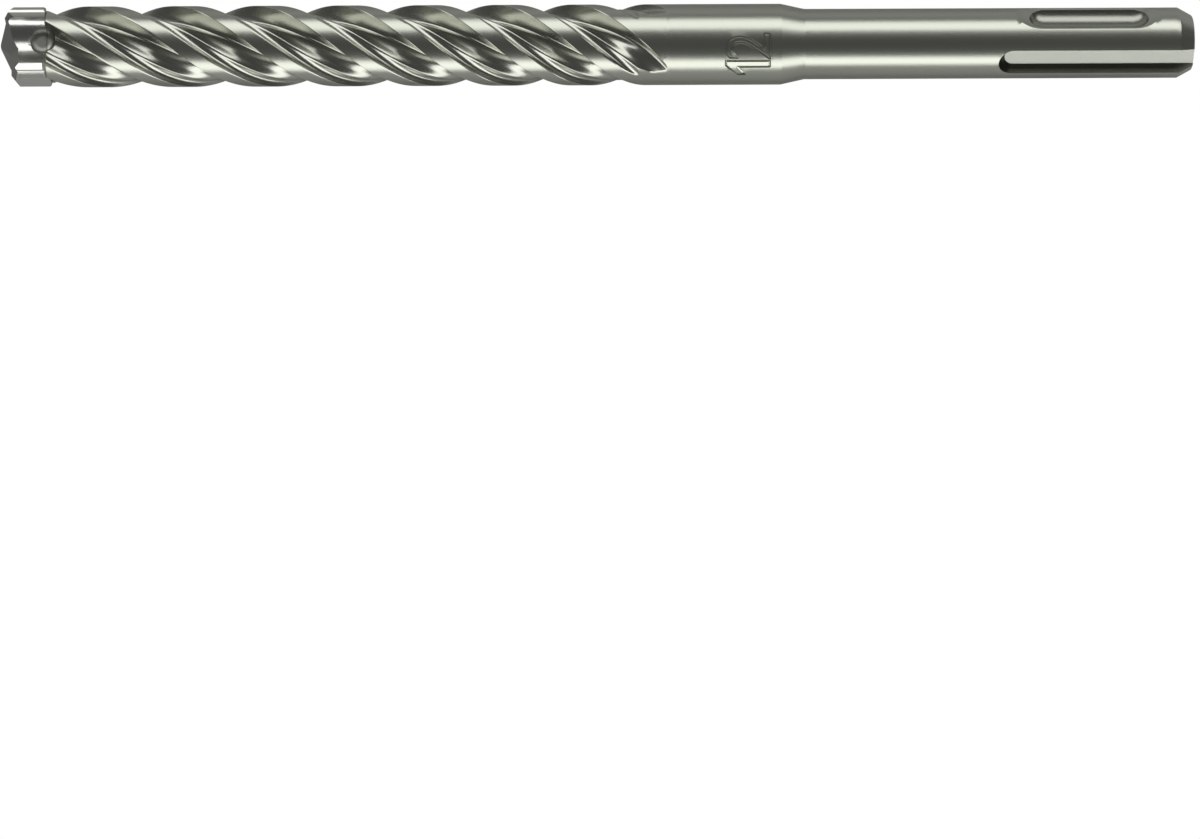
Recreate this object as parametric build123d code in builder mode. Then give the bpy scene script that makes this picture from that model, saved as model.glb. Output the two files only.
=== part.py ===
from build123d import *
from math import cos, radians, sin
import os

os.makedirs("parts", exist_ok=True)

# Hammer drill bit lying level along X, tip toward -X, shank toward +X.
# All lengths are mm and all angles are degrees. Stations are distances from the
# very tip along the axis. Angles around the axis run from straight up (+Z)
# toward +Y, and the helix turns toward smaller angles as the station grows.

# overall
overall_length = 170.0
shank_diameter = 10.0
body_diameter = 11.5
cutting_diameter = 12.3

# head block, an X of two main and two side lobes with a hollow valley behind each
head_length = 6.85
lobe_lead_angle = 63.5
main_lobe_trim = 2.5
margin_angle = 10.0
relief_step_angle = 3.0
relief_depth = 0.2
land_end_angle = 24.3
lobe_rear_chamfer = 0.25
valley_lip_radius = 5.5
valley_lip_angle = 20.5
valley_back_radius = 3.86
valley_back_angle = 26.7
valley_floor_radius = 3.22
valley_floor_angles = (41.3, 62.8)
wall_foot_radius = 4.67
wall_foot_angle = 84.6

# ground points of the cutting end: slopes are setback per mm away from each crest
centre_angle = 51.0
centre_flat_depth = 0.12
centre_slope = 0.3
centre_flank_slope = 0.85
main_crest_radius = 4.9
main_crest_drop = 1.0
main_slopes = (0.1, 0.55, 0.6, 0.9)
side_angle = -33.0
side_crest_radius = 0.3
side_crest_drop = 1.0
side_slopes = (5.0, 0.3, 0.8, 0.35)

# joint between the head and the steel
seam_thickness = 0.2
seam_recess = 0.18
pocket_radius = 2.0
pocket_station = 6.4
pocket_angle = 10.0
pocket_floor_radius = 2.7
pocket_fillet = 1.2

# four helical flutes
land_angle = 25.0
land_lead_at_tip = 20.1
pitch_at_tip = 49.85
pitch_at_runout = 42.6
flute_stages = 4
runout_start = 84.1
runout_end = 95.6
runout_lift = 2.76
runout_steps = 11
runout_cutter_radius = 9.2
runout_cutter_margin = 5.0
shallow_groove_radius = 4.74
rib_radius = 4.82
deep_groove_radius = 3.3

# collar, cone and shank
collar_end = 111.3
cone_end = 114.7
collar_edge_radius = 0.8
end_chamfer_length = 2.1
end_face_diameter = 7.7
end_edge_radius = 0.4

# two open drive grooves in the shank
drive_groove_angle = -41.0
drive_groove_centre = 144.3
drive_floor_width = 2.4
drive_floor_radius = 3.28
drive_flank_angle = 30.0

# two closed locking grooves in the shank
lock_groove_angle = 49.0
lock_groove_first = 147.4
lock_groove_last = 162.4
lock_ball_radius = 3.5
lock_floor_radius = 3.25

# how far cutters stand out past the surface they cut
overshoot = 1.0

# values that follow from the ones above
axis_height = body_diameter / 2
body_radius = body_diameter / 2
shank_radius = shank_diameter / 2
cutting_radius = cutting_diameter / 2
tip_x = -overall_length / 2
flute_angle = 90 - land_angle
steel_start = head_length + seam_thickness
axis_line = Axis((0, 0, axis_height), (1, 0, 0))


def station_plane(station):
    """Section plane across the axis: local x is +Y, local y is +Z."""
    return Plane(origin=(tip_x + station, 0, axis_height), x_dir=(0, 1, 0), z_dir=(1, 0, 0))


def radial_plane(station, angle, radius):
    """Plane facing outward at an angle: local x is +X, the origin is on that radius."""
    y, z = polar(radius, angle)
    outward = (0, sin(radians(angle)), cos(radians(angle)))
    return Plane(origin=(tip_x + station, y, axis_height + z), x_dir=(1, 0, 0), z_dir=outward)


def polar(radius, angle):
    """Section point at a radius and an angle from straight up."""
    return (radius * sin(radians(angle)), radius * cos(radians(angle)))


def turn(station):
    """Degrees the flutes have turned at a station, with the pitch shortening evenly."""
    gain = (1 / pitch_at_runout - 1 / pitch_at_tip) / runout_end
    return 360 * (station / pitch_at_tip + gain * station * station / 2)


def between(low, high, share):
    """Radius part of the way from a low one to a high one."""
    return low + (high - low) * share


# One flute across the axis, as shares of its angle with radii: a steep drop from
# the leading edge of a land, a shallow groove, a rounded rib, then the deep groove
# and the hollow wall that climbs to the trailing edge of the next land.
flute_section = [
    (0.00, body_radius),
    (0.03, between(shallow_groove_radius, body_radius, 0.48)),
    (0.065, between(shallow_groove_radius, body_radius, 0.10)),
    (0.14, shallow_groove_radius),
    (0.215, shallow_groove_radius),
    (0.285, rib_radius),
    (0.37, between(deep_groove_radius, rib_radius, 0.56)),
    (0.435, between(deep_groove_radius, rib_radius, 0.24)),
    (0.51, between(deep_groove_radius, rib_radius, 0.04)),
    (0.60, deep_groove_radius),
    (0.69, between(deep_groove_radius, body_radius, 0.04)),
    (0.77, between(deep_groove_radius, body_radius, 0.13)),
    (0.86, between(deep_groove_radius, body_radius, 0.37)),
    (0.93, between(deep_groove_radius, body_radius, 0.68)),
    (1.00, body_radius),
]


def flute_curve(station, lead, lift):
    """The hollow of one flute as a curve in space at a station."""
    plane = station_plane(station)
    points = [plane.from_local_coords(polar(r + lift, lead + flute_angle * f)) for f, r in flute_section]
    return Edge.make_spline(points, parameters=[f for f, r in flute_section])


def fluted_face(station):
    """Full steel section with its four flutes and four lands."""
    plane = station_plane(station)
    edges = []
    for quarter in range(4):
        lead = land_lead_at_tip - turn(station) + 90 * quarter
        edges.append(flute_curve(station, lead, 0))
        angles = [lead + flute_angle + land_angle * share for share in (0, 0.5, 1)]
        land = [plane.from_local_coords(polar(body_radius, angle)) for angle in angles]
        edges.append(Edge.make_three_point_arc(*land))
    return Face(Wire(edges))


def fluted_length(near, far):
    """Fluted bar between two stations, its section turned evenly from one to the other."""
    centre = (tip_x + near, 0, axis_height)
    return Solid.extrude_linear_with_rotation(
        fluted_face(near), centre, (far - near, 0, 0), turn(far) - turn(near)
    )


def runout_edges(station):
    """Closed outline of one flute cutter, rising outward ever faster along the run-out."""
    plane = station_plane(station)
    lead = land_lead_at_tip - turn(station)
    lift = runout_lift * ((station - runout_start) / (runout_end - runout_start)) ** 2
    curve = flute_curve(station, lead, lift)
    first = plane.from_local_coords(polar(runout_cutter_radius, lead - runout_cutter_margin))
    far_angle = lead + flute_angle + runout_cutter_margin
    last = plane.from_local_coords(polar(runout_cutter_radius, far_angle))
    return [
        curve,
        Edge.make_line(curve @ 1, last),
        Edge.make_line(last, first),
        Edge.make_line(first, curve @ 0),
    ]


# run-out cutter: ruled strips between lifted outlines, closed at both ends
runout_stations = [
    runout_start + (runout_end - runout_start) * step / runout_steps
    for step in range(runout_steps + 1)
]
outlines = [runout_edges(station) for station in runout_stations]
strips = [Face(Wire(outlines[0])), Face(Wire(outlines[-1]))]
for near, far in zip(outlines, outlines[1:]):
    strips += [Face.make_surface_from_curves(a, b) for a, b in zip(near, far)]
runout_cutter = Solid(Shell(strips))

# round pocket ground into each valley across the joint
with BuildPart() as joint_pocket:
    with BuildSketch(radial_plane(pocket_station, pocket_angle, pocket_floor_radius)):
        Circle(pocket_radius)
    extrude(amount=cutting_radius)
    pocket_axis = Axis(axis_line.position, (0, sin(radians(pocket_angle)), cos(radians(pocket_angle))))
    fillet(joint_pocket.faces().sort_by(pocket_axis)[0].edges(), pocket_fillet)

# drive groove cutter: flat floor, sloping flanks, round inner end, open at the shank end
with BuildPart() as drive_cutter:
    with BuildSketch(radial_plane(drive_groove_centre, drive_groove_angle, drive_floor_radius)):
        Circle(drive_floor_width / 2)
        drive_length = overall_length - drive_groove_centre + overshoot
        Rectangle(drive_length, drive_floor_width, align=(Align.MIN, Align.CENTER))
    extrude(amount=shank_radius - drive_floor_radius + overshoot, taper=-drive_flank_angle)

# locking groove cutter: round floor with ball ends
lock_length = lock_groove_last - lock_groove_first
lock_middle = (lock_groove_first + lock_groove_last) / 2
lock_centre_radius = lock_floor_radius + lock_ball_radius
with BuildPart(radial_plane(lock_middle, lock_groove_angle, lock_centre_radius)) as lock_cutter:
    Cylinder(lock_ball_radius, lock_length, rotation=(0, 90, 0))
    with Locations((-lock_length / 2, 0, 0), (lock_length / 2, 0, 0)):
        Sphere(lock_ball_radius)

# steel body: collar, cone and shank turned in one, then fluted and grooved
with BuildPart() as steel_body:
    with BuildSketch(Plane.XZ):
        with BuildLine():
            start_x = tip_x + runout_start
            end_x = tip_x + overall_length
            Polyline(
                (start_x, axis_height),
                (start_x, axis_height + body_radius),
                (tip_x + collar_end, axis_height + body_radius),
                (tip_x + cone_end, axis_height + shank_radius),
                (end_x - end_chamfer_length, axis_height + shank_radius),
                (end_x, axis_height + end_face_diameter / 2),
                (end_x, axis_height),
                close=True,
            )
        outline = make_face()
        corners = outline.vertices()
        collar_corner = (tip_x + collar_end, 0, axis_height + body_radius)
        end_corner = (end_x, 0, axis_height + end_face_diameter / 2)
        fillet(corners.sort_by_distance(collar_corner)[0], collar_edge_radius)
        fillet(corners.sort_by_distance(end_corner)[0], end_edge_radius)
    revolve(axis=axis_line)
    for quarter in range(4):
        add(runout_cutter.rotate(axis_line, 90 * quarter), mode=Mode.SUBTRACT)
    stage_length = (runout_start - steel_start) / flute_stages
    for stage in reversed(range(flute_stages)):
        near = steel_start + stage_length * stage
        add(fluted_length(near, near + stage_length))
    for half in range(2):
        add(drive_cutter.part.rotate(axis_line, 180 * half), mode=Mode.SUBTRACT)
        add(lock_cutter.part.rotate(axis_line, 180 * half), mode=Mode.SUBTRACT)
    for quarter in range(4):
        add(joint_pocket.part.rotate(axis_line, 90 * quarter), mode=Mode.SUBTRACT)


def lobe_edges(quarter):
    """One quarter of the head outline: the land of one lobe and the valley behind it."""
    lead = lobe_lead_angle + 90 * quarter
    trims = (main_lobe_trim, 0) if quarter % 2 == 0 else (0, main_lobe_trim)
    relief_radius = cutting_radius - relief_depth
    step_end = lead - margin_angle - relief_step_angle
    margin = [lead - trims[0], lead - (margin_angle + trims[0]) / 2, lead - margin_angle]
    relief = [step_end, (step_end + lead - land_end_angle) / 2, lead - land_end_angle]
    ThreePointArc(*[polar(cutting_radius, angle) for angle in margin])
    Line(polar(cutting_radius, margin[2]), polar(relief_radius, step_end))
    ThreePointArc(*[polar(relief_radius, angle) for angle in relief])
    Line(polar(relief_radius, relief[2]), polar(valley_lip_radius, lead - valley_lip_angle))
    Spline(
        polar(valley_lip_radius, lead - valley_lip_angle),
        polar(valley_back_radius, lead - valley_back_angle),
        polar(valley_floor_radius, lead - valley_floor_angles[0]),
        polar(valley_floor_radius, lead - valley_floor_angles[1]),
        polar(wall_foot_radius, lead - wall_foot_angle),
    )
    Line(polar(wall_foot_radius, lead - wall_foot_angle), polar(cutting_radius, lead - 90 - trims[1]))


def ground_point(angle, crest_radius, drop, slopes):
    """Four-sided point whose crest lies at a radius and an angle, down to the back of the head."""
    inner, outer, leading, trailing = [(head_length - drop) / slope for slope in slopes]
    out = (0, sin(radians(angle)), cos(radians(angle)))
    plane = Plane(origin=(tip_x, 0, axis_height), x_dir=out, z_dir=(-1, 0, 0))
    base = [
        (crest_radius + outer, 0),
        (crest_radius, leading),
        (crest_radius - inner, 0),
        (crest_radius, -trailing),
    ]
    crest = plane.from_local_coords((crest_radius, 0, -drop))
    feet = [plane.from_local_coords((x, y, -head_length)) for x, y in base]
    sides = [Face(Wire.make_polygon([crest, a, b])) for a, b in zip(feet, feet[1:] + feet[:1])]
    return Solid(Shell(sides + [Face(Wire.make_polygon(feet))]))


# carbide head: lobed block, ground to points in front, with its rear edge and joint pockets
with BuildPart() as front_points:
    add(ground_point(centre_angle, 0, -centre_flat_depth, (centre_slope,) * 2 + (centre_flank_slope,) * 2))
    for half in (0, 180):
        add(ground_point(centre_angle + half, main_crest_radius, main_crest_drop, main_slopes))
        add(ground_point(side_angle + half, side_crest_radius, side_crest_drop, side_slopes))

with BuildPart() as carbide_head:
    with BuildSketch(station_plane(0)):
        with BuildLine():
            for quarter in range(4):
                lobe_edges(quarter)
        make_face()
    extrude(amount=head_length)
    add(front_points.part, mode=Mode.INTERSECT)
    with BuildSketch(Plane.XZ):
        with BuildLine():
            back_x = tip_x + head_length
            Polyline(
                (back_x, axis_height + cutting_radius - lobe_rear_chamfer),
                (back_x, axis_height + cutting_radius + overshoot),
                (back_x - lobe_rear_chamfer - overshoot, axis_height + cutting_radius + overshoot),
                close=True,
            )
        make_face()
    revolve(axis=axis_line, mode=Mode.SUBTRACT)
    for quarter in range(4):
        add(joint_pocket.part.rotate(axis_line, 90 * quarter), mode=Mode.SUBTRACT)

# seam: thin filler layer between the head and the steel, a little below both
with BuildPart() as braze_seam:
    with BuildSketch(station_plane(head_length)):
        Circle(body_radius - seam_recess)
    extrude(amount=seam_thickness)
    add(fluted_length(head_length, steel_start), mode=Mode.INTERSECT)
    for quarter in range(4):
        add(joint_pocket.part.rotate(axis_line, 90 * quarter), mode=Mode.SUBTRACT)

steel_body.part.label = "steel_body"
carbide_head.part.label = "carbide_head"
braze_seam.part.label = "braze_seam"
export_step(steel_body.part, "parts/steel_body.step")
export_step(carbide_head.part, "parts/carbide_head.step")
export_step(braze_seam.part, "parts/braze_seam.step")
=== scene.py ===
import math

import bmesh
import bpy
import numpy as np
from mathutils import Matrix, Vector
from mathutils.geometry import interpolate_bezier


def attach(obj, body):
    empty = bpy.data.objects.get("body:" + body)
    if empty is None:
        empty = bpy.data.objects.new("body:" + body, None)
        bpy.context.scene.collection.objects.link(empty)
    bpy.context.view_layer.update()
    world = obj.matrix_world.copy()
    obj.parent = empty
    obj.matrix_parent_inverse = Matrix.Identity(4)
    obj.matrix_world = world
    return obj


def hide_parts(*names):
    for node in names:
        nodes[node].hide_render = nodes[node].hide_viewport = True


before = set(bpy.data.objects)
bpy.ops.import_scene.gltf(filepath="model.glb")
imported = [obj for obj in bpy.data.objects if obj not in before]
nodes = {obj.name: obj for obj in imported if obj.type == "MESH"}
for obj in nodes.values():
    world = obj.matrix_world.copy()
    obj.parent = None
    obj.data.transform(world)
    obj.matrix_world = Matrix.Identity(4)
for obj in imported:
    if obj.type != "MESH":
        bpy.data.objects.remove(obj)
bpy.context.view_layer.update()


# The steel body: one bar turned with a collar, a cone and a shank, then milled with four
# helical flutes whose pitch shortens, and which rise to the surface before the collar.
# Sizes are mm and degrees, and a station is the distance from the very tip.
mm = 0.001
tip_x = -85.0
axis_height = 5.75
body_radius = 5.75
shank_radius = 5.0
steel_start = 7.05
flute_angle = 65.0
land_lead_at_tip = 20.1
pitch_at_tip = 49.85
pitch_at_runout = 42.6
runout_start = 84.1
runout_end = 95.6
runout_lift = 2.76
rib_angle = 19.0
# angle from the leading edge of a flute, and radius there: the bevel, the shallow groove,
# the rib beside it, the deep groove and its steep wall
flute_section = [
    (0.0, body_radius),
    (0.8, 5.45),
    (2.2, 5.05),
    (4.5, 4.82),
    (7.5, 4.73),
    (10.0, 4.70),
    (13.0, 4.72),
    (16.0, 4.78),
    (rib_angle, 4.78),
    (22.0, 4.60),
    (25.0, 4.38),
    (28.8, 4.13),
    (33.0, 3.94),
    (37.0, 3.79),
    (41.0, 3.65),
    (47.0, 3.42),
    (53.0, 3.24),
    (57.5, 3.30),
    (61.0, 3.62),
    (63.2, 4.09),
    (64.3, 4.81),
    (flute_angle, body_radius),
]


def turn(station):
    """Degrees the flutes have turned at a station."""
    gain = (1 / pitch_at_runout - 1 / pitch_at_tip) / runout_end
    return 360 * (station / pitch_at_tip + gain * station * station / 2)


# The flute as a smooth fine line of angles and radii, and how far along it each point is.
knots = np.array(flute_section)
degree_length = 0.08
steps = np.hypot(np.diff(knots[:, 0]) * degree_length, np.diff(knots[:, 1]))
knot_way = np.append(0, np.cumsum(steps)) / steps.sum()
slopes = np.stack([np.gradient(knots[:, 0], knot_way), np.gradient(knots[:, 1], knot_way)], axis=1)
way = np.linspace(0, 1, 4001)
after = np.clip(np.searchsorted(knot_way, way, side="right") - 1, 0, len(knots) - 2)
gap = (knot_way[after + 1] - knot_way[after])[:, None]
share = (way - knot_way[after])[:, None] / gap
line = knots[after] * (1 + 2 * share) * (1 - share) ** 2
line += knots[after + 1] * share * share * (3 - 2 * share)
line += gap * share * (1 - share) * (slopes[after] * (1 - share) - slopes[after + 1] * share)
way_angle, way_radius = line.T
rib_way = knot_way[[angle for angle, radius in flute_section].index(rib_angle)]
shallow_low = way[np.argmin(np.where(way < rib_way, way_radius, body_radius))]
deep_low = way[np.argmin(way_radius)]
edge_turn = 0.8
edge_drop = 0.4
bevel_share = 0.012
bevel_fade = 0.06
rib_share = 0.01
shallow_columns = 17
rib_columns = 4
deep_columns = 36
land_columns = 9


def section(station):
    """Angles and radii round a quarter of the section, with columns kept on the grooves' edges."""
    lift = runout_lift * (max(0.0, station - runout_start) / (runout_end - runout_start)) ** 2
    below = way_radius + lift < body_radius
    shallow = way[below & (way < rib_way)]
    deep = way[below & (way > rib_way)]
    first = shallow[0] if len(shallow) else shallow_low
    rib_from = min(shallow[-1], rib_way - rib_share) if len(shallow) else shallow_low
    rib_to = max(deep[0], rib_way + rib_share) if len(deep) else deep_low
    last = deep[-1] if len(deep) else deep_low
    lead_edge = min(1.0, (rib_from - first) / bevel_fade)
    trail_edge = min(1.0, (last - rib_to) / bevel_fade)
    along = np.concatenate([
        [first],
        np.linspace(first + bevel_share * lead_edge, rib_from, shallow_columns),
        np.linspace(rib_from, rib_to, rib_columns + 2)[1:-1],
        np.linspace(rib_to, last - bevel_share * trail_edge, deep_columns),
        [last],
    ])
    angles = np.interp(along, way, way_angle)
    radii = np.minimum(np.interp(along, way, way_radius) + lift, body_radius)
    radii[0] = body_radius - edge_drop * (body_radius - radii[1])
    radii[-1] = body_radius - edge_drop * (body_radius - radii[-2])
    land_start = angles[-1] + edge_turn * trail_edge
    land = np.linspace(land_start, 90 + angles[0] - edge_turn * lead_edge, land_columns)
    return np.append(angles, land), np.append(radii, np.full(len(land), body_radius))


def surfacing(radius):
    """Station where a line of the flute at a radius has risen to the surface."""
    rise = (body_radius - radius) / runout_lift
    return runout_start + (runout_end - runout_start) * math.sqrt(rise)


# Stations of the rings. They crowd together where each groove of a flute ends.
ledge_start = 88.0
ledge_end = surfacing(way_radius[way < rib_way].min())
tongue_end = surfacing(way_radius.min())
stations = np.concatenate([
    np.arange(steel_start, runout_start, 0.5),
    np.arange(runout_start, ledge_start, 0.25),
    ledge_end - (ledge_end - ledge_start) * (np.arange(24, -1, -1) / 24) ** 2,
    tongue_end - (tongue_end - ledge_end) * (np.arange(35, -1, -1) / 36) ** 2,
])
rings = []
for station in stations:
    angles, radii = section(station)
    lead = land_lead_at_tip - turn(station)
    quarters = [lead + 90 * quarter for quarter in range(4)]
    rings.append([(station, start + a, r) for start in quarters for a, r in zip(angles, radii)])

# Profile of the collar, the cone and the shank, with softened edges. The rings that
# carry it stand close together where the mark and the grooves are cut.
collar_end = 111.3
cone_end = 114.7
end_station = 170.0
end_chamfer = 2.1
end_radius = 3.85
profile = [(station, body_radius) for station in np.arange(tongue_end + 0.4, 110.9, 0.7)]
cone_slope = math.atan2(body_radius - shank_radius, cone_end - collar_end)
collar_edge = 0.3
for step in range(5):
    a = cone_slope * step / 4
    along = collar_edge * (math.sin(a) - math.tan(cone_slope / 2))
    profile.append((collar_end + along, body_radius - collar_edge * (1 - math.cos(a))))
crisp = 0.1
profile.append((cone_end - crisp, shank_radius + crisp * math.tan(cone_slope)))
plain_rings = (cone_end, cone_end + crisp, 120.0, 126.0, 132.0, 138.0)
profile += [(station, shank_radius) for station in plain_rings]
profile += [(station, shank_radius) for station in np.arange(141.0, 167.8, 0.9)]
profile.append((end_station - end_chamfer, shank_radius))
chamfer_slope = math.atan2(shank_radius - end_radius, end_chamfer)
profile.append((end_station - end_chamfer + crisp, shank_radius - crisp * math.tan(chamfer_slope)))
end_edge = 0.4
for step in range(6):
    a = chamfer_slope + (math.pi / 2 - chamfer_slope) * step / 5
    inset = end_edge * (math.tan((math.pi / 2 - chamfer_slope) / 2) - math.cos(a))
    profile.append((end_station - end_edge + end_edge * math.sin(a), end_radius - inset))
angles = [angle for _, angle, _ in rings[-1]]
for station, radius in profile:
    rings.append([(station, angle, radius) for angle in angles])

# The skin over the rings, with each face's finish and its place along and round the bit.
satin, milled, rough, dark, hollow = range(5)
milled_depth = 0.01
verts = []
for ring in rings:
    for station, angle, radius in ring:
        a = math.radians(angle)
        verts.append((
            mm * (tip_x + station),
            mm * radius * math.sin(a),
            mm * (axis_height + radius * math.cos(a)),
        ))
columns = len(rings[0])
faces = []
slots = []
places = []
for row in range(len(rings) - 1):
    for column in range(columns):
        beside = (column + 1) % columns
        a = row * columns
        faces.append((a + column, a + columns + column, a + columns + beside, a + beside))
        this, that = rings[row], rings[row + 1]
        corners = (this[column], that[column], that[beside], this[beside])
        lowest = min(radius for station, angle, radius in corners)
        in_flute = row < len(stations) - 1 and lowest < body_radius - milled_depth
        slots.append(milled if in_flute else satin)
        for (station, angle, radius), side in zip(corners, (0, 0, 1, 1)):
            around = angle + 360 * (beside < column) * side + turn(min(station, tongue_end))
            places += (mm * station, mm * math.radians(around) * body_radius)
faces.append(tuple(range(columns)))
slots.append(rough)
faces.append(tuple(range(len(verts) - 1, len(verts) - 1 - columns, -1)))
slots.append(satin)
places += [0.0, 0.0] * (2 * columns)
steel_mesh = bpy.data.meshes.new("steel")
steel_mesh.from_pydata(verts, [], faces)
steel_mesh.polygons.foreach_set("material_index", slots)
steel_mesh.uv_layers.new(name="UVMap").data.foreach_set("uv", places)
steel_mesh.update()
steel = bpy.data.objects.new("steel", steel_mesh)
bpy.context.collection.objects.link(steel)


# The grain of blasted steel as a bumped normal, shared by the finishes: specks where
# Along is 0, and streaks along the cut of the mill where it is 1.
grain = bpy.data.node_groups.new("grain", "ShaderNodeTree")
for label in ("Across", "Along", "Height"):
    grain.interface.new_socket(label, in_out="INPUT", socket_type="NodeSocketFloat")
grain.interface.new_socket("Normal", in_out="OUTPUT", socket_type="NodeSocketVector")
given = grain.nodes.new("NodeGroupInput")
result = grain.nodes.new("NodeGroupOutput")
place = grain.nodes.new("ShaderNodeTexCoord")
speck = grain.nodes.new("ShaderNodeTexNoise")
speck.inputs["Detail"].default_value = 2.0
streak = grain.nodes.new("ShaderNodeTexNoise")
streak.inputs["Scale"].default_value = 1.0
streak.inputs["Detail"].default_value = 3.0
stretch = grain.nodes.new("ShaderNodeVectorMath")
stretch.operation = "MULTIPLY"
stretch.inputs[1].default_value = (40.0, 5000.0, 1.0)
blend = grain.nodes.new("ShaderNodeMix")
bump = grain.nodes.new("ShaderNodeBump")
bump.inputs["Strength"].default_value = 1.0
grain.links.new(place.outputs["Object"], speck.inputs["Vector"])
grain.links.new(given.outputs["Across"], speck.inputs["Scale"])
grain.links.new(place.outputs["UV"], stretch.inputs[0])
grain.links.new(stretch.outputs["Vector"], streak.inputs["Vector"])
grain.links.new(given.outputs["Along"], blend.inputs["Factor"])
grain.links.new(speck.outputs["Fac"], blend.inputs["A"])
grain.links.new(streak.outputs["Fac"], blend.inputs["B"])
grain.links.new(blend.outputs["Result"], bump.inputs["Height"])
grain.links.new(given.outputs["Height"], bump.inputs["Distance"])
grain.links.new(bump.outputs["Normal"], result.inputs["Normal"])


def metal(name, colour, roughness, across, along, height):
    """Metal finish with its grain: how fine across, specks or streaks, and how high in metres."""
    finish = bpy.data.materials.new(name)
    finish.use_nodes = True
    tree = finish.node_tree
    shader = tree.nodes["Principled BSDF"]
    shader.inputs["Base Color"].default_value = (*colour, 1.0)
    shader.inputs["Metallic"].default_value = 1.0
    shader.inputs["Roughness"].default_value = roughness
    texture = tree.nodes.new("ShaderNodeGroup")
    texture.node_tree = grain
    texture.inputs["Across"].default_value = across
    texture.inputs["Along"].default_value = along
    texture.inputs["Height"].default_value = height
    tree.links.new(texture.outputs["Normal"], shader.inputs["Normal"])
    return finish


# The finishes of the steel, in the order of their slots: satin, milled, rough, dark, hollow.
# Dark and hollow are painted shade, steel darkened in the drive grooves' walls and the locking
# grooves' hollows.
steel_finishes = (
    metal("satin_steel", (0.585, 0.61, 0.53), 0.29, 12000.0, 0.0, 0.000004),
    metal("milled_steel", (0.585, 0.60, 0.53), 0.25, 6000.0, 1.0, 0.0000015),
    metal("rough_steel", (0.50, 0.52, 0.46), 0.36, 7000.0, 0.0, 0.00002),
    # painted shade: near-black steel for the drive grooves' walls, where shade falls
    metal("painted_shade_steel", (0.13, 0.135, 0.11), 0.40, 7000.0, 0.0, 0.00001),
    # painted shade: darker steel for the locking grooves' hollows, where shade falls
    metal("hollow_painted_shade_steel", (0.40, 0.41, 0.36), 0.27, 9000.0, 0.0, 0.00001),
)
for finish in steel_finishes:
    steel_mesh.materials.append(finish)


# The cuts in the steel: two open drive grooves and two closed locking grooves milled in
# the shank, and four round pockets ground across the joint with the head. A locking
# groove is a ball-ended hollow inside a wider and shallower one.
def radial(station, angle):
    """Frame at the axis with its X along the bit and its Z outward at an angle, in metres."""
    turned = Matrix.Rotation(-math.radians(angle), 4, "X")
    return Matrix.Translation((mm * (tip_x + station), 0, mm * axis_height)) @ turned


def solid(name, loops, where, end_slot, side_slot):
    """Closed cutter skinned over loops of points, each in mm, in the frame of the cut."""
    points = [where @ Vector([mm * c for c in point]) for loop in loops for point in loop]
    count = len(loops[0])
    skins = [tuple(range(count))[::-1], tuple(range(len(points) - count, len(points)))]
    for k in range(len(loops) - 1):
        for i in range(count):
            j = (i + 1) % count
            skins.append((k * count + i, k * count + j, k * count + count + j, k * count + count + i))
    mesh = bpy.data.meshes.new(name)
    mesh.from_pydata(points, [], skins)
    mesh.polygons.foreach_set("material_index", [end_slot] * 2 + [side_slot] * (len(skins) - 2))
    shape = bmesh.new()
    shape.from_mesh(mesh)
    bmesh.ops.recalc_face_normals(shape, faces=shape.faces)
    shape.to_mesh(mesh)
    shape.free()
    for finish in steel_finishes:
        mesh.materials.append(finish)
    piece = bpy.data.objects.new(name, mesh)
    bpy.context.collection.objects.link(piece)
    return piece


cutters = []
# an open drive groove, with a flat floor, leaning flanks and a round inner end; its walls get the
# dark slot, a near-black steel that is painted shade
drive_angle = -41.0
drive_centre = 144.3
drive_floor = 3.28
drive_half_width = 1.2
drive_flank = math.tan(math.radians(30))
overshoot = 1.0
for half in range(2):
    loops = []
    for height in (drive_floor, shank_radius + overshoot):
        wide = drive_half_width + (height - drive_floor) * drive_flank
        reach = end_station - drive_centre + overshoot
        loop = [(reach, -wide, height), (reach, wide, height)]
        for step in range(33):
            a = math.radians(90 + 180 * step / 32)
            loop.append((wide * math.cos(a), wide * math.sin(a), height))
        loops.append(loop)
    cutters.append(solid("drive", loops, radial(drive_centre, drive_angle + 180 * half), rough, dark))
# a closed locking groove: stations of its two ball centres, the ball's radius across and
# reach along, the radius of its floor and its finish, for the rim and for the hollow, whose darker
# steel is painted shade
lock_angle = 49.0
lock_rim = (148.3, 161.5, 11.2, 8.7, 3.99, satin)
lock_hollow = (148.8, 161.3, 2.7, 2.7, 3.1, hollow)
for start, end, ball, reach, floor, skin in (lock_rim, lock_hollow):
    for half in range(2):
        loops = []
        for step in range(1, 48):
            a = math.pi * step / 48
            shifts = (0, end - start) if step == 24 else (0,) if step < 24 else (end - start,)
            for shift in shifts:
                loops.append([
                    (
                        shift - reach * math.cos(a),
                        ball * math.sin(a) * math.sin(math.tau * side / 80),
                        floor + ball + ball * math.sin(a) * math.cos(math.tau * side / 80),
                    )
                    for side in range(80)
                ])
        cutters.append(solid("lock", loops, radial(start, lock_angle + 180 * half), skin, skin))
# a round pocket across the joint, with a fillet round its floor
pocket_station = 6.4
pocket_angle = 10.0
pocket_radius = 2.0
pocket_floor = 2.7
pocket_top = 7.0
pocket_fillet = 1.2
for quarter in range(4):
    levels = [(pocket_radius, pocket_top)]
    for step in range(9):
        a = math.pi / 2 * (1 - step / 8)
        inset = pocket_fillet * (1 - math.sin(a))
        levels.append((pocket_radius - inset, pocket_floor + pocket_fillet * (1 - math.cos(a))))
    circle = [(math.cos(math.tau * side / 64), math.sin(math.tau * side / 64)) for side in range(64)]
    loops = [[(radius * x, radius * y, height) for x, y in circle] for radius, height in levels]
    where = radial(pocket_station, pocket_angle + 90 * quarter)
    cutters.append(solid("pocket", loops, where, rough, rough))


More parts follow.
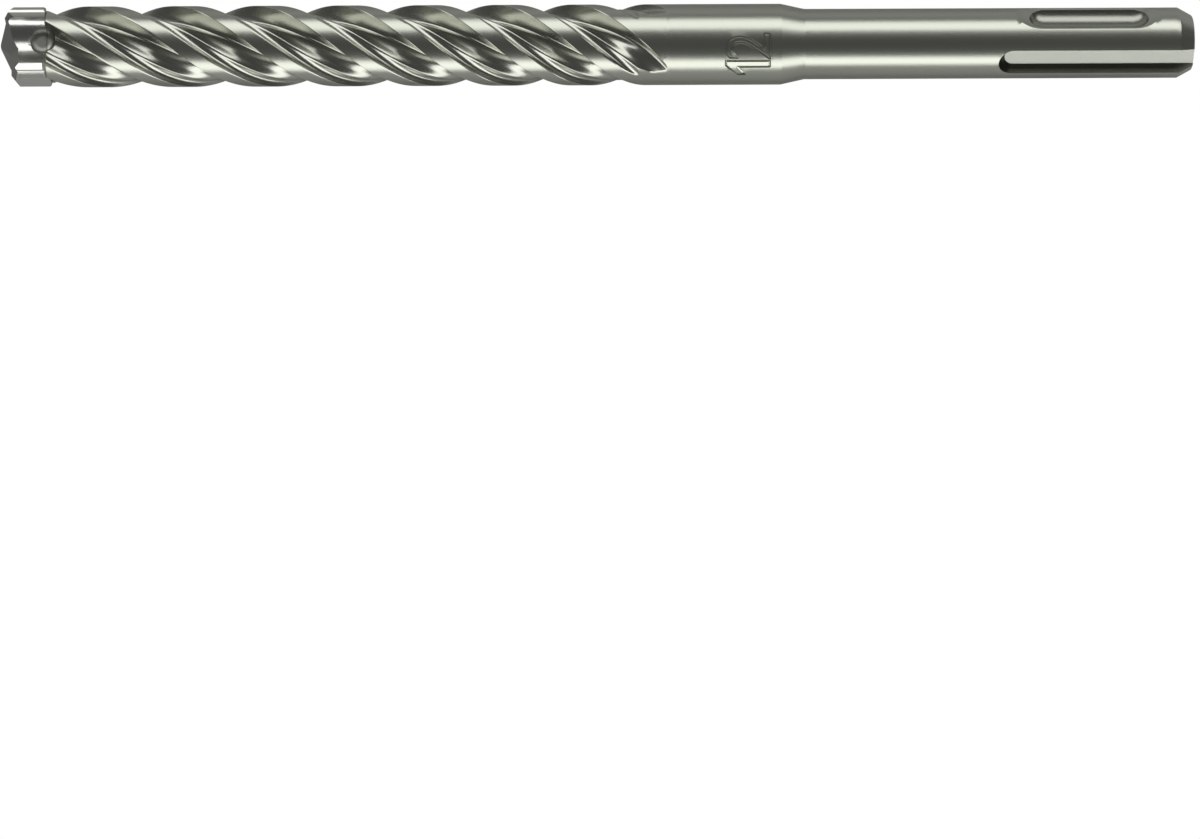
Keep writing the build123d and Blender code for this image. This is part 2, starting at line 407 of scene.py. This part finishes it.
# The size mark on the collar: a 1 and a 2 stamped in outline, reading toward +Y with
# their tops toward the cutting end, as grooves that follow the round of the collar.
mark_foot = 109.6
mark_height = 6.2
mark_depth = 0.2
two = bpy.data.curves.new("two", "FONT")
two.body = "2"
mark = bpy.data.objects.new("two", two)
bpy.context.collection.objects.link(mark)
outline = mark.to_curve(bpy.context.evaluated_depsgraph_get()).splines[0].bezier_points
bends = []
for this, beyond in zip(outline, list(outline[1:]) + [outline[0]]):
    bends += interpolate_bezier(this.co, this.handle_right, beyond.handle_left, beyond.co, 9)[:-1]
one = [(0.6, 0.0), (1.0, 0.0), (1.0, 1.0), (0.7, 1.0), (0.0, 0.72), (0.0, 0.56), (0.6, 0.75)]
corners = []
for (x, y), (to_x, to_y) in zip(one, one[1:] + one[:1]):
    corners += [Vector((x + (to_x - x) * k / 24, y + (to_y - y) * k / 24, 0)) for k in range(24)]
groove = bpy.data.curves.new("mark_grooves", "CURVE")
groove.dimensions = "3D"
groove.bevel_depth = mm * mark_depth
groove.bevel_resolution = 1
for points, start, end in ((corners, -53.0, -29.5), (bends, -26.0, 9.5)):
    left = min(point.x for point in points)
    right = max(point.x for point in points)
    top = max(point.y for point in points)
    strand = groove.splines.new("POLY")
    strand.points.add(len(points) - 1)
    strand.use_cyclic_u = True
    for spot, point in zip(strand.points, points):
        around = math.radians(start + (end - start) * (point.x - left) / (right - left))
        spot.co = (
            mm * (tip_x + mark_foot - mark_height * point.y / top),
            mm * body_radius * math.sin(around),
            mm * (axis_height + body_radius * math.cos(around)),
            1.0,
        )
strands = bpy.data.objects.new("mark_grooves", groove)
bpy.context.collection.objects.link(strands)
stamped = strands.evaluated_get(bpy.context.evaluated_depsgraph_get())
stamp_mesh = bpy.data.meshes.new_from_object(stamped)
for finish in steel_finishes:
    stamp_mesh.materials.append(finish)
stamp = bpy.data.objects.new("stamp", stamp_mesh)
bpy.context.collection.objects.link(stamp)
cutters.append(stamp)
for spare in (mark, strands):
    bpy.data.objects.remove(spare)

# All the cuts are made at once, and only true edges stay sharp.
for tool in cutters:
    cut = steel.modifiers.new("cut", "BOOLEAN")
    cut.operation = "DIFFERENCE"
    cut.solver = "MANIFOLD"
    cut.object = tool
carved = steel.evaluated_get(bpy.context.evaluated_depsgraph_get())
steel.data = bpy.data.meshes.new_from_object(carved)
steel.modifiers.clear()
for tool in cutters:
    bpy.data.objects.remove(tool)
for face in steel.data.polygons:
    face.use_smooth = True
steel.data.set_sharp_from_angle(angle=math.radians(34.0))
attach(steel, "root")
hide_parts("steel_body")


# The carbide head: a hard block sintered in one piece, ground on its sides and its four
# points, and joined flat to the steel. Its front faces are left a dull dark grey.
front_slope = -0.3
front_reach = 4.0
wall_margin = 0.005
node = nodes["carbide_head"]
head = bpy.data.objects.new("head", node.data.copy())
bpy.context.collection.objects.link(head)
head.data.materials.clear()
head.data.materials.append(metal("ground_carbide", (0.72, 0.72, 0.68), 0.22, 12000.0, 0.0, 0.000004))
head.data.materials.append(metal("front_carbide", (0.36, 0.36, 0.34), 0.45, 12000.0, 0.0, 0.000006))
head.data.materials.append(metal("pocket_carbide", (0.40, 0.40, 0.37), 0.45, 7000.0, 0.0, 0.00001))
for face in head.data.polygons:
    in_front = face.normal.x < front_slope and face.center.x < mm * (tip_x + front_reach)
    face.material_index = 1 if in_front else 0
    for quarter in range(4):
        inside = radial(pocket_station, pocket_angle + 90 * quarter).inverted() @ face.center
        if inside.z > 0 and math.hypot(inside.x, inside.y) < mm * (pocket_radius - wall_margin):
            face.material_index = 2
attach(head, "root")
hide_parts("carbide_head")


# The seam: a thin layer of filler between the head and the steel, a little below both.
seam = nodes["braze_seam"]
seam.data.materials.clear()
seam.data.materials.append(metal("filler", (0.26, 0.25, 0.21), 0.45, 9000.0, 0.0, 0.00001))


# The white sweep that the bit lies on. To the eye of the camera it is pure white, and
# for the light that it gives back it is a pale grey card.
bpy.ops.mesh.primitive_plane_add(size=6.0, location=(0.0, 0.0, 0.0))
sweep = bpy.context.object
sweep.name = "sweep"
sweep_finish = bpy.data.materials.new("sweep_finish")
sweep_finish.use_nodes = True
tree = sweep_finish.node_tree
tree.nodes.clear()
card = tree.nodes.new("ShaderNodeBsdfDiffuse")
card.inputs["Color"].default_value = (0.68, 0.68, 0.68, 1.0)
white = tree.nodes.new("ShaderNodeEmission")
white.inputs["Color"].default_value = (1.0, 1.0, 1.0, 1.0)
white.inputs["Strength"].default_value = 1.0
path = tree.nodes.new("ShaderNodeLightPath")
mix = tree.nodes.new("ShaderNodeMixShader")
out = tree.nodes.new("ShaderNodeOutputMaterial")
tree.links.new(path.outputs["Is Camera Ray"], mix.inputs["Fac"])
tree.links.new(card.outputs["BSDF"], mix.inputs[1])
tree.links.new(white.outputs["Emission"], mix.inputs[2])
tree.links.new(mix.outputs["Shader"], out.inputs["Surface"])
sweep.data.materials.append(sweep_finish)


# Two long soft boxes, one along each side of the bit, and a dim ceiling between them.
box_distance = 0.6
box_length = 1.2
world = bpy.data.worlds.new("studio")
bpy.context.scene.world = world
world.use_nodes = True
world.node_tree.nodes["Background"].inputs["Color"].default_value = (0.07, 0.07, 0.07, 1.0)
world.node_tree.nodes["Background"].inputs["Strength"].default_value = 1.0
for name, angle, width, power in (("near_box", -63.5, 0.33, 2.15), ("far_box", 54.0, 0.38, 2.1)):
    lamp = bpy.data.lights.new(name, "AREA")
    lamp.shape = "RECTANGLE"
    lamp.size = box_length
    lamp.size_y = width
    lamp.energy = power
    box = bpy.data.objects.new(name, lamp)
    bpy.context.collection.objects.link(box)
    a = math.radians(angle)
    box.location = (0.0, box_distance * math.sin(a), box_distance * math.cos(a))
    box.rotation_euler = (-a, 0.0, 0.0)


# The camera of the photograph: straight above, with the bit near the top of the frame.
view = bpy.data.cameras.new("photo")
view.sensor_width = 36.0
view.lens = 115.5
camera = bpy.data.objects.new("photo", view)
camera.location = (0.000352, -0.05351, 0.55575)
camera.rotation_euler = (0.0, 0.0, math.radians(-0.2275))
bpy.context.collection.objects.link(camera)
bpy.context.scene.camera = camera
bpy.context.scene.view_settings.view_transform = "Standard"
